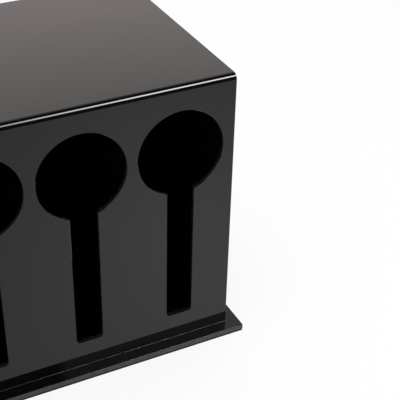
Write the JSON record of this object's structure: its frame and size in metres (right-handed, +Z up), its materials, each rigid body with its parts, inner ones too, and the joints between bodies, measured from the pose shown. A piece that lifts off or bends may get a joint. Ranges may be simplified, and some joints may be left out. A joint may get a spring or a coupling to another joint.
{
  "type": "cutlery dispenser",
  "caption": "Countertop cutlery dispenser: a gloss black box on a wider base plate, with a keyhole window in front of each lane and a hinged door at the back for filling.",
  "frame": {"origin": "on the ground under the middle of the base plate, at the bottom of the rubber feet", "axes": "+X to the right seen from the front, -Y out of the windowed front, +Z up"},
  "size_m": [0.2886, 0.2326, 0.2565],
  "materials": {
    "black_acrylic": "polished",
    "hinge_plastic": "moulded",
    "pin_steel": "bright",
    "magnet_plate": "nickel plated",
    "foot_rubber": "matt"
  },
  "bodies": {
    "cabinet": {"base_plate": "black_acrylic", "front_top_shell": "black_acrylic", "side_panel_left": "black_acrylic", "side_panel_right": "black_acrylic", "divider_1": "black_acrylic", "divider_2": "black_acrylic", "hinge_stile": "black_acrylic", "upper_hinge_stile_leaf": "hinge_plastic", "upper_hinge_pin": "pin_steel", "lower_hinge_stile_leaf": "hinge_plastic", "lower_hinge_pin": "pin_steel", "catch_block": "black_acrylic", "catch_magnet": "magnet_plate", "foot_front_left": "foot_rubber", "foot_front_right": "foot_rubber", "foot_rear_left": "foot_rubber", "foot_rear_right": "foot_rubber"},
    "door": {"rear_door": "black_acrylic", "door_knob": "black_acrylic", "knob_screw": "pin_steel", "upper_hinge_door_leaf": "hinge_plastic", "lower_hinge_door_leaf": "hinge_plastic", "catch_strike": "pin_steel"}
  },
  "joints": [
    {"name": "door_hinge", "type": "hinge", "parent": "cabinet", "child": "door", "pos_m": [-0.1097, 0.1074, 0.1295], "axis": [0, 0, 1], "range_deg": [0, 170]}
  ]
}
